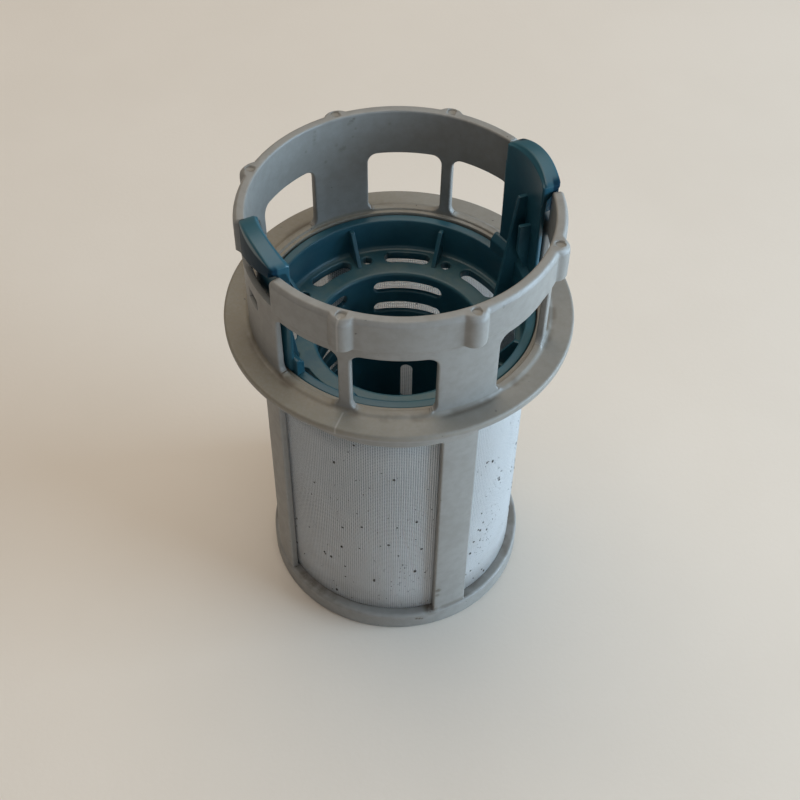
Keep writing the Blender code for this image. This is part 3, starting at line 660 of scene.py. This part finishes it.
def buildFrameShell():
    s = frameShell
    e, seam = s["edge"], s["seam"]
    perDegree = s["bandGirth"] * math.pi / 180.0
    marks = {round(seam + 2.0 * i, 4) for i in range(181)}
    for centre in (*s["bumps"], 450.0):
        around = {round(centre + 0.3 * k / perDegree, 4) for k in range(-15, 16)}
        marks = {m for m in marks if abs(m - centre) > 4.7 / perDegree} | around
    columns = sorted({m for m in marks if seam + 0.2 < m < seam + 359.8} | {seam, seam + 360.0})
    rows = [e, 2.5, 4.7, 4.85, 5.0, 5.15, 5.3, 5.5, 5.7, 30.0, 54.0, 76.8, 77.0, 78.0, 78.4, 79.5,
            84.0, 84.25, 84.5, 86.0, 86.2, 86.4, 86.6, 87.2, 87.4, 87.6, 87.8, 88.0, 89.2, 89.4,
            89.6, 89.8, 90.0, 90.2, 90.4, 90.8, 91.2, 95.0, 99.0, 103.0, 107.0, 110.4, 110.6, 110.8,
            111.0, 111.2, 111.4, 111.6, 114.0, 116.5, 117.6, 118.4, 118.9, 118.95, 119.2, 119.4,
            s["rim"] - e]

    def girthAt(row):
        return np.where(row > 80.0, s["collarGirth"], s["postGirth"])

    mesh = wrapWall("frame_shell", columns, rows, frameOpenings(columns), frameSkins, e, girthAt)
    shell = addObject("frame_shell", mesh, framePlastic)
    sinkPinMarks(shell)
    return smoothed(shell)


frameShellItem = buildFrameShell()
print("frame shell made:", len(frameShellItem.data.polygons), "faces")


# Coarse basket: rim, wall, slotted shelf and slotted cup in one sheet

basketShell = {
    "edge": 0.35,
    "seam": 86.8,
    "slotTurns": [15.0 + 45.0 * k for k in range(2, 10)],
    "slotSpan": 25.2,
    "slotWidth": 3.5,
    "slotRadius": 26.5,
    "holeTurns": [37.5 + 45.0 * k for k in range(2, 10)],
    "holeRadius": 26.3,
    "holeDiameter": 2.5,
    "cupRadius": 20.25,
    "cupTurns": [57.6 + 72.0 * k for k in range(1, 6)],
    "levelSpan": 50.0,
    "levelHeight": 3.3,
    "levelTop": 75.8,
    "levelPitch": 7.15,
    "levelRows": 4,
    "uprightWidth": 3.2,
    "uprightHeight": 14.0,
    "uprightMiddle": 39.2,
}


# The sheet's row at a radius of the shelf, and at a height of the cup's wall
def shelfRow(radius):
    return 12.0 + 28.8 - radius


def cupRow(height):
    return 21.06 + 79.4 - height


basketInnerKnots = [
    (-1.0, 33.5, 89.3), (1.8, 30.7, 89.3), (2.05, 30.45, 89.26), (2.3, 30.28, 89.14),
    (2.55, 30.2, 88.95), (3.8, 30.0, 87.8), (10.1, 30.0, 81.5)]
basketInnerKnots += arcKnots(10.3, 12.0, (28.8, 81.5), 1.2, 0.0, -90.0)
basketInnerKnots += arcKnots(19.65, 21.06, (21.15, 79.4), 0.9, 90.0, 180.0)
basketInnerKnots += arcKnots(70.46, 72.82, (18.75, 30.0), 1.5, 0.0, -90.0)
basketInnerKnots += [(91.57, 0.0, 28.5)]
basketInner = profile(basketInnerKnots)
basketOuterKnots = [
    (-1.0, 33.5, 87.8), (1.0, 31.5, 87.8), (2.3, 31.5, 86.7), (10.1, 31.5, 79.9),
    (10.6, 31.5, 79.2), (10.9, 31.3, 78.9), (11.2, 31.0, 78.8), (11.4, 30.6, 78.75),
    (11.6, 30.4, 78.5), (11.8, 30.3, 78.1), (12.0, 28.8, 78.0), (18.75, 22.05, 78.0),
    (19.6, 21.84, 77.97), (20.6, 21.75, 77.9), (22.56, 21.75, 77.9), (70.46, 21.75, 30.0)]
basketOuterKnots += arcKnots(70.9, 72.82, (20.25, 28.5), 1.5, 0.0, -90.0)
basketOuterKnots += [(91.57, 0.0, 27.0)]
basketOuter = profile(basketOuterKnots)


def basketSkins(angle, row):
    return (*basketInner(row), *basketOuter(row))


def buildBasketShell():
    s = basketShell
    e = s["edge"]
    columns = [s["seam"] + 2.0 * i for i in range(181)]
    rows = sorted({e, 1.0, *(round(k[0], 3) for k in basketInnerKnots[1:] + basketOuterKnots[1:]),
                   5.5, 7.8, 15.0, 17.5, 24.0, 34.0, 46.0, 58.0, 76.0, 80.0, 85.0, 89.0})
    rows = [r for r in rows if r >= e]
    openings = []
    short = 0.02  # keeps a straight piece between two round ends
    for turn in s["slotTurns"]:
        openings.append(grownSlot(e, turn, shelfRow(s["slotRadius"]),
                                  math.radians(s["slotSpan"]) * s["slotRadius"], s["slotWidth"],
                                  s["slotWidth"] / 2 - short, s["slotRadius"], 7))
    for turn in s["holeTurns"]:
        size = s["holeDiameter"]
        openings.append(grownSlot(e, turn, shelfRow(s["holeRadius"]), size, size, size / 2 - short / 2,
                                  s["holeRadius"], 7))
    for turn in s["cupTurns"]:
        for row in range(s["levelRows"]):
            openings.append(grownSlot(e, turn, cupRow(s["levelTop"] - row * s["levelPitch"]),
                                      math.radians(s["levelSpan"]) * s["cupRadius"], s["levelHeight"],
                                      s["levelHeight"] / 2 - short, s["cupRadius"], 7))
        openings.append(grownSlot(e, turn, cupRow(s["uprightMiddle"]), s["uprightWidth"],
                                  s["uprightHeight"], s["uprightWidth"] / 2 - short, s["cupRadius"], 7))

    def girthAt(row):
        return np.maximum(basketInner(row)[0], 1.0)

    mesh = wrapWall("basket_shell", columns, rows, openings, basketSkins, e, girthAt, hasPole=True)
    return smoothed(addObject("basket_shell", mesh, basketPlastic))


basketShellItem = buildBasketShell()
print("basket shell made:", len(basketShellItem.data.polygons), "faces")


# Grip tabs: curved plates with an outward lip and a skirt, thick feet, a long rib and a short stub each

gripTabs = {
    "centres": (-1.5, 181.5),
    "width": 17.8,
    "bottom": 90.1,
    "top": 123.6,
    "crownRadius": 19.3,
    "crownFrom": 120.6,  # above this height the plate follows its crown
    "innerRadius": 31.9,
    "plateRadius": 33.2,
    "lipRadius": 36.15,
    "skirtBottom": (113.0, 118.8),  # lower edge of the skirt under the lip, slanted from end to end
    "skirtRow": 116.0,  # the row of the mesh that follows that edge
    "followFrom": 104.0,  # rows from here on are moved towards it
    "followOver": (11.6, 5.9),  # how fast the move grows below the edge and fades above it
    "endBottom": 120.4,  # past the skirt, at each end of the tab, the lip is a plain block
    "skirtHalf": 7.8,
    "step": 0.12,  # half the width of the step between skirt and block
    "lipBand": 1.3,  # height of the lip's upright face
    "chamfer": 0.5,
    "leanFrom": 96.0,
    "lean": (0.0, -0.4),  # the second tab is bent a little inwards and stands a little higher
    "lift": (0.0, 0.4),
    "edge": 0.6,
    "rootSpan": 36.6,
    "rootTop": 93.6,
    "ribAngles": (-1.5, 178.5),
    "ribTop": 112.6,
    "stubOffset": -6.0,
    "ribThickness": 1.1,
}


# Columns are millimetres across the tab, so that its sides stay parallel
def buildTab(centre, index):
    s = gripTabs
    e, top, edgeRow, band, step = (s[key] for key in ("edge", "top", "skirtRow", "lipBand", "step"))
    half, inner = s["width"] / 2 - e, s["skirtHalf"]
    lean, lift = s["lean"][index - 1], s["lift"][index - 1]
    columns = sorted({round(x, 4) for x in [-half + 2 * half * i / 30 for i in range(31)]
                      + [side * inner + k * step for side in (-1, 1) for k in (-1, 0, 1)]})
    rows = [s["bottom"] + e, 94.0, 102.0, 108.0, 112.0, 114.5] + [edgeRow + 0.1 * k for k in range(-3, 4)]
    rows += [117.5, 119.0, 120.5, top - 1.4, top - 1.2, top - 1.0, top - 0.8, top - e]

    def skins(across, row):
        share = np.clip((across + half) / (2 * half), 0.0, 1.0)
        low = s["skirtBottom"][0] + (s["skirtBottom"][1] - s["skirtBottom"][0]) * share
        atEnd = np.clip((np.abs(across) - inner + step) / (2 * step), 0.0, 1.0)
        low = low + (s["endBottom"] - low) * atEnd
        grows, fades = s["followOver"]
        follow = np.clip((row - s["followFrom"]) / grows, 0.0, 1.0)
        follow = follow * np.clip((top - band - row) / fades, 0.0, 1.0)
        out = np.clip((row - edgeRow + 0.25) / 0.5, 0.0, 1.0)
        out = out * out * (3.0 - 2.0 * out)
        outerR = s["plateRadius"] + (s["lipRadius"] - s["plateRadius"]) * out
        cut = np.clip((row - (top - band)) / (band - e), 0.0, 1.0)
        return s["innerRadius"] + s["chamfer"] * cut, row, outerR, row + (low - edgeRow) * follow

    def placing(across, r, z):
        turn = math.radians(centre)
        crown, start = s["crownRadius"], s["crownFrom"]
        rise = np.clip((z - s["leanFrom"]) / (top - s["leanFrom"]), 0.0, 1.0)
        along = np.sqrt(r * r - across * across) + lean * rise
        drop = crown - np.sqrt(crown ** 2 - across * across)
        height = z + lift * rise - drop * np.clip((z - start) / (top - start), 0.0, 1.0)
        return np.stack((along * math.cos(turn) - across * math.sin(turn),
                         along * math.sin(turn) + across * math.cos(turn), height), axis=1)

    name = "grip_tab_%d" % index
    mesh = wrapWall(name, columns, rows, [], skins, e, lambda row: np.full_like(row, 180.0 / math.pi),
                    hasSeam=False, placing=placing)
    return smoothed(addObject(name, mesh, basketPlastic))


# A profile of (radius, height) points swept through an angle, closed at its ends
def sweptBlock(outline, centre, span, steps):
    points, faces = [], []
    for step in range(steps + 1):
        turn = math.radians(centre - span / 2 + span * step / steps)
        points += [(r * math.cos(turn) * mm, r * math.sin(turn) * mm, z * mm) for r, z in outline]
    n = len(outline)
    for step in range(steps):
        for k in range(n):
            low, high = step * n, (step + 1) * n
            faces.append((low + k, low + (k + 1) % n, high + (k + 1) % n, high + k))
    faces.append(tuple(range(n)))
    faces.append(tuple(steps * n + k for k in reversed(range(n))))
    return points, faces


# An outline in radius and height, with a thickness, standing in the upright plane at an angle
def uprightPlate(outline, centre, thickness):
    turn = turnedAbout(centre)
    points = []
    for side in (-0.5, 0.5):
        points += [tuple(turn @ Vector((r * mm, side * thickness * mm, z * mm))) for r, z in outline]
    return points, prismFaces(len(outline))


tabItems = [buildTab(centre, index + 1) for index, centre in enumerate(gripTabs["centres"])]

rootOutline = [(30.2, 88.9), (32.5, 88.9), (32.5, gripTabs["rootTop"]), (31.6, gripTabs["rootTop"]),
               (30.2, gripTabs["rootTop"] - 1.4)]
rootBlocks = [sweptBlock(rootOutline, centre, gripTabs["rootSpan"], 20) for centre in gripTabs["centres"]]
tabRoots = smoothed(addObject("tab_roots", merged("tab_roots", rootBlocks), basketPlastic), 0.3 * mm)

longRib = [(30.35, 79.9), (30.35, 89.0), (32.3, 89.3), (32.3, gripTabs["ribTop"]), (29.9, gripTabs["ribTop"]),
           (25.5, 80.3), (25.5, 79.9)]
stub = [(32.3, 90.9), (32.3, 106.4), (29.1, 106.4), (29.1, 98.6), (31.9, 91.2)]
tabRibBlocks = []
for ribAngle in gripTabs["ribAngles"]:
    tabRibBlocks.append(uprightPlate(longRib, ribAngle, gripTabs["ribThickness"]))
    tabRibBlocks.append(uprightPlate(stub, ribAngle + gripTabs["stubOffset"], gripTabs["ribThickness"]))
tabRibs = smoothed(addObject("tab_ribs", merged("tab_ribs", tabRibBlocks), basketPlastic), 0.22 * mm)
print("grip tabs made")


# Geometry Nodes helpers

# A tree with a named input for each setting, and for the things that it is given when it grows
def newTree(name, settings, things=("Material",)):
    tree = bpy.data.node_groups.new(name, "GeometryNodeTree")
    for label, value in settings.items():
        kind = "NodeSocketInt" if isinstance(value, int) else "NodeSocketFloat"
        tree.interface.new_socket(name=label, in_out="INPUT", socket_type=kind).default_value = value
    for label in things:
        tree.interface.new_socket(name=label, in_out="INPUT", socket_type="NodeSocket" + label)
    tree.interface.new_socket(name="Geometry", in_out="OUTPUT", socket_type="NodeSocketGeometry")
    given = tree.nodes.new("NodeGroupInput")
    result = tree.nodes.new("NodeGroupOutput")
    return tree, given.outputs, result.inputs[0]


def finishTree(tree, geometry, result, material):
    realize = putNode(tree, "GeometryNodeRealizeInstances", {0: geometry})
    shade = putNode(tree, "GeometryNodeSetShadeSmooth", {0: realize.outputs[0], "Shade Smooth": True})
    paint = putNode(tree, "GeometryNodeSetMaterial", {"Geometry": shade.outputs[0], "Material": material})
    tree.links.new(paint.outputs[0], result)


def grow(name, tree, values):
    holder = bpy.data.objects.new(name, bpy.data.meshes.new(name + "_start"))
    mainCollection.objects.link(holder)
    modifier = holder.modifiers.new("grow", "NODES")
    modifier.node_group = tree
    for item in tree.interface.items_tree:
        if item.item_type == "SOCKET" and item.in_out == "INPUT" and item.name in values:
            modifier[item.identifier] = values[item.name]
    depsgraph = bpy.context.evaluated_depsgraph_get()
    mesh = bpy.data.meshes.new_from_object(holder.evaluated_get(depsgraph), depsgraph=depsgraph)
    bpy.data.objects.remove(holder)
    item = bpy.data.objects.new(name, mesh)
    mainCollection.objects.link(item)
    return item


def combine(tree, x, y, z):
    return putNode(tree, "ShaderNodeCombineXYZ", {0: x, 1: y, 2: z}).outputs[0]


# The point at an angle round the axis, a distance from it and a height
def polar(tree, angle, radius, height):
    return combine(tree, times(tree, radius, mathNode(tree, "COSINE", angle)),
                   times(tree, radius, mathNode(tree, "SINE", angle)), height)


# A turn about the axis, as instances take it
def spin(tree, angle):
    return putNode(tree, "FunctionNodeEulerToRotation", {0: combine(tree, 0.0, 0.0, angle)}).outputs[0]


# Woven screen: a grid wrapped round the axis, with an upright rib for each warp thread, then given a wall

screenWeave = {
    "Ribs": 350,
    "Steps per rib": 4,
    "Radius": 31.62 * mm,
    "Ridge": 0.05 * mm,
    "Bottom": 5.8 * mm,
    "Height": 70.9 * mm,
    "Wall": 0.18 * mm,
}


def buildScreenWeave():
    tree, given, result = newTree("screenWeave", screenWeave)
    columns = times(tree, given["Ribs"], given["Steps per rib"])
    sheet = putNode(tree, "GeometryNodeMeshGrid", {
        "Size X": 1.0, "Size Y": 1.0, "Vertices X": plus(tree, columns, 1.0), "Vertices Y": 9})
    place = putNode(tree, "GeometryNodeInputPosition")
    across, upward, _ = putNode(tree, "ShaderNodeSeparateXYZ", {0: place.outputs[0]}).outputs
    angle = times(tree, plus(tree, across, 0.5), 2 * math.pi)
    wave = mathNode(tree, "COSINE", times(tree, angle, given["Ribs"]))
    radius = plus(tree, given["Radius"], times(tree, wave, given["Ridge"]))
    height = plus(tree, given["Bottom"], times(tree, plus(tree, upward, 0.5), given["Height"]))
    wrap = putNode(tree, "GeometryNodeSetPosition", {
        "Geometry": sheet.outputs["Mesh"], "Position": polar(tree, angle, radius, height)})
    seam = putNode(tree, "GeometryNodeMergeByDistance", {"Geometry": wrap.outputs[0], "Distance": weld})
    outward = putNode(tree, "GeometryNodeExtrudeMesh", {
        "Individual": False, "Mesh": seam.outputs[0], "Offset Scale": given["Wall"]}, mode="FACES")
    inside = putNode(tree, "GeometryNodeFlipFaces", {0: seam.outputs[0]})
    both = putNode(tree, "GeometryNodeJoinGeometry")
    tree.links.new(outward.outputs["Mesh"], both.inputs[0])
    tree.links.new(inside.outputs[0], both.inputs[0])
    close = putNode(tree, "GeometryNodeMergeByDistance", {"Geometry": both.outputs[0], "Distance": weld})
    finishTree(tree, close.outputs[0], result, given["Material"])
    return grow("screen_weave", tree, {**screenWeave, "Material": screenCloth})


screenItem = buildScreenWeave()
print("screen made:", len(screenItem.data.polygons), "faces")


# Gusset ribs between the shelf and the basket's wall, repeated round the axis

gussetRibs = {
    "Count": 8,
    "Phase": math.radians(43.5),
    "Skip every": 4,  # each fourth place holds a grip tab's long rib
}
gussetOutline = [(30.3, 79.9), (30.3, 88.2), (28.8, 88.2), (24.0, 80.3), (24.0, 79.9)]


def buildGussetRibs():
    tree, given, result = newTree("gussetRibs", gussetRibs, ("Object", "Material"))
    seats = putNode(tree, "GeometryNodeMeshLine", {"Count": given["Count"], "Offset": (0.0, 0.0, 0.0)})
    order = putNode(tree, "GeometryNodeInputIndex").outputs[0]
    share = mathNode(tree, "DIVIDE", 2 * math.pi, given["Count"])
    turn = plus(tree, times(tree, order, share), given["Phase"])
    last = mathNode(tree, "SUBTRACT", given["Skip every"], 1.0)
    keep = mathNode(tree, "LESS_THAN", mathNode(tree, "MODULO", order, given["Skip every"]), last)
    rib = putNode(tree, "GeometryNodeObjectInfo", {"Object": given["Object"]}, transform_space="ORIGINAL")
    spread = putNode(tree, "GeometryNodeInstanceOnPoints", {
        "Points": seats.outputs[0], "Selection": keep, "Instance": rib.outputs["Geometry"],
        "Rotation": spin(tree, turn)})
    finishTree(tree, spread.outputs[0], result, given["Material"])
    plate = merged("gusset_model", [uprightPlate(gussetOutline, 0.0, 1.1)])
    model = smoothed(addObject("gusset_model", plate, basketPlastic), 0.2 * mm)
    ribs = grow("gusset_ribs", tree, {**gussetRibs, "Object": model, "Material": basketPlastic})
    bpy.data.objects.remove(model)
    return ribs


gussetItem = buildGussetRibs()
print("gusset ribs made")


# Specks of dirt on the screen

screenSpecks = {
    "Count": 430,
    "Radius": 31.86 * mm,
    "Bottom": 7.0 * mm,
    "Top": 76.0 * mm,
    "Smallest": 0.13 * mm,
    "Largest": 0.40 * mm,
    "Seed": 7,
}


def randomValue(tree, low, high, seed, identifier):
    node = putNode(tree, "FunctionNodeRandomValue", {"ID": identifier, "Seed": seed}, data_type="FLOAT")
    floats = [socket for socket in node.inputs if socket.type == "VALUE"]
    feed(tree, floats[0], low)
    feed(tree, floats[1], high)
    return [socket for socket in node.outputs if socket.type == "VALUE"][0]


def buildScreenSpecks():
    tree, given, result = newTree("screenSpecks", screenSpecks)
    seats = putNode(tree, "GeometryNodeMeshLine", {"Count": given["Count"]})
    order = putNode(tree, "GeometryNodeInputIndex").outputs[0]
    seed = given["Seed"]

    def between(low, high, share):
        return plus(tree, given[low], times(tree, share, mathNode(tree, "SUBTRACT", given[high], given[low])))

    turn = randomValue(tree, 0.0, 2 * math.pi, seed, order)
    share = randomValue(tree, 0.0, 1.0, plus(tree, seed, 11.0), order)
    height = between("Bottom", "Top", mathNode(tree, "POWER", share, 1.4))  # more of them near the base
    move = putNode(tree, "GeometryNodeSetPosition", {
        "Geometry": seats.outputs[0], "Position": polar(tree, turn, given["Radius"], height)})
    grain = putNode(tree, "GeometryNodeMeshIcoSphere", {"Radius": 1.0, "Subdivisions": 2})
    chance = mathNode(tree, "POWER", randomValue(tree, 0.0, 1.0, plus(tree, seed, 23.0), order), 3.0)
    size = between("Smallest", "Largest", chance)
    tall = times(tree, size, randomValue(tree, 0.7, 1.5, plus(tree, seed, 37.0), order))
    spread = putNode(tree, "GeometryNodeInstanceOnPoints", {
        "Points": move.outputs[0], "Instance": grain.outputs["Mesh"], "Rotation": spin(tree, turn),
        "Scale": combine(tree, times(tree, size, 0.3), size, tall)})
    finishTree(tree, spread.outputs[0], result, given["Material"])
    return grow("screen_specks", tree, {**screenSpecks, "Material": dirt})


specksItem = buildScreenSpecks()
print("specks made")


# Which body each piece moves with, and which CAD node it stands for

bodyPieces = {
    "outer_frame": [frameShellItem],
    "mesh_screen": [screenItem, specksItem],
}
for nodeName, items in bodyPieces.items():
    for item in items:
        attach(item, "filter_body")
        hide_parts(nodeName)
for item in [basketShellItem, gussetItem, tabRoots, tabRibs, *tabItems]:
    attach(item, "basket")
    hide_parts("coarse_basket")


# Table, camera and lights

studio = {
    "tableSize": 3.0,
    "tableDrop": 0.0001,  # the table lies this much below the part, so that no faces coincide
    "lens": 58.0,
    "cameraPlace": (0.0, -218.58, 305.26),
    "pitch": 48.8875,
    "yaw": 0.160,
    "roll": 1.0388,
    "world": (0.92, 0.93, 1.0),
    "worldStrength": 0.11,
    "aim": (0.0, 0.0, 0.06),
    "lights": (  # name, azimuth, elevation, distance, size, power and colour
        ("window", -10.0, 21.0, 1.1, (0.75, 0.35), 11.5, (0.57, 0.79, 1.0)),
        ("sill", 3.0, 6.0, 1.1, (1.2, 0.3), 9.5, (0.62, 0.81, 1.0)),
        ("ceiling", 112.0, 73.0, 1.3, (1.3, 1.3), 11.6, (1.0, 0.91, 0.78)),
        ("room", -75.0, 15.0, 1.3, (1.2, 0.6), 2.9, (0.92, 0.95, 1.0))),
}


def addTable():
    half, low = studio["tableSize"] / 2, -studio["tableDrop"]
    mesh = bpy.data.meshes.new("table_top")
    corners = [(-half, -half, low), (half, -half, low), (half, half, low), (-half, half, low)]
    mesh.from_pydata(corners, [], [(0, 1, 2, 3)])
    table = addObject("table_top", mesh, makeTableTop())


def addCamera():
    camera = bpy.data.objects.new("camera", bpy.data.cameras.new("camera"))
    mainCollection.objects.link(camera)
    camera.data.sensor_width = 36.0
    camera.data.lens = studio["lens"]
    camera.data.clip_start = 0.01
    pitch, yaw, roll = (math.radians(studio[key]) for key in ("pitch", "yaw", "roll"))
    ahead = Vector((math.sin(yaw) * math.cos(pitch), math.cos(yaw) * math.cos(pitch), -math.sin(pitch)))
    right = Vector((math.cos(yaw), -math.sin(yaw), 0.0))
    up = right.cross(ahead)
    right2 = math.cos(roll) * right + math.sin(roll) * up
    up2 = -math.sin(roll) * right + math.cos(roll) * up
    stand = Matrix((right2, up2, -ahead)).transposed().to_4x4()
    stand.translation = Vector(studio["cameraPlace"]) * mm
    camera.matrix_world = turnedAbout(viewTurn) @ stand
    bpy.context.scene.camera = camera


def addLight(name, azimuth, elevation, distance, size, power, colour):
    light = bpy.data.lights.new(name, "AREA")
    light.shape = "RECTANGLE"
    light.size, light.size_y = size
    light.energy = power
    light.color = colour
    item = bpy.data.objects.new(name, light)
    mainCollection.objects.link(item)
    turn, rise = math.radians(azimuth + viewTurn), math.radians(elevation)
    flat = math.cos(rise)
    item.location = Vector((flat * math.cos(turn), flat * math.sin(turn), math.sin(rise))) * distance
    item.rotation_euler = (Vector(studio["aim"]) - item.location).to_track_quat("-Z", "Y").to_euler()


addTable()
addCamera()
for light in studio["lights"]:
    addLight(*light)
world = bpy.data.worlds.new("room")
bpy.context.scene.world = world
world.use_nodes = True
sky = world.node_tree.nodes["Background"]
sky.inputs[0].default_value = (*studio["world"], 1.0)
sky.inputs[1].default_value = studio["worldStrength"]
bpy.context.scene.view_settings.view_transform = "Standard"
print("studio set")
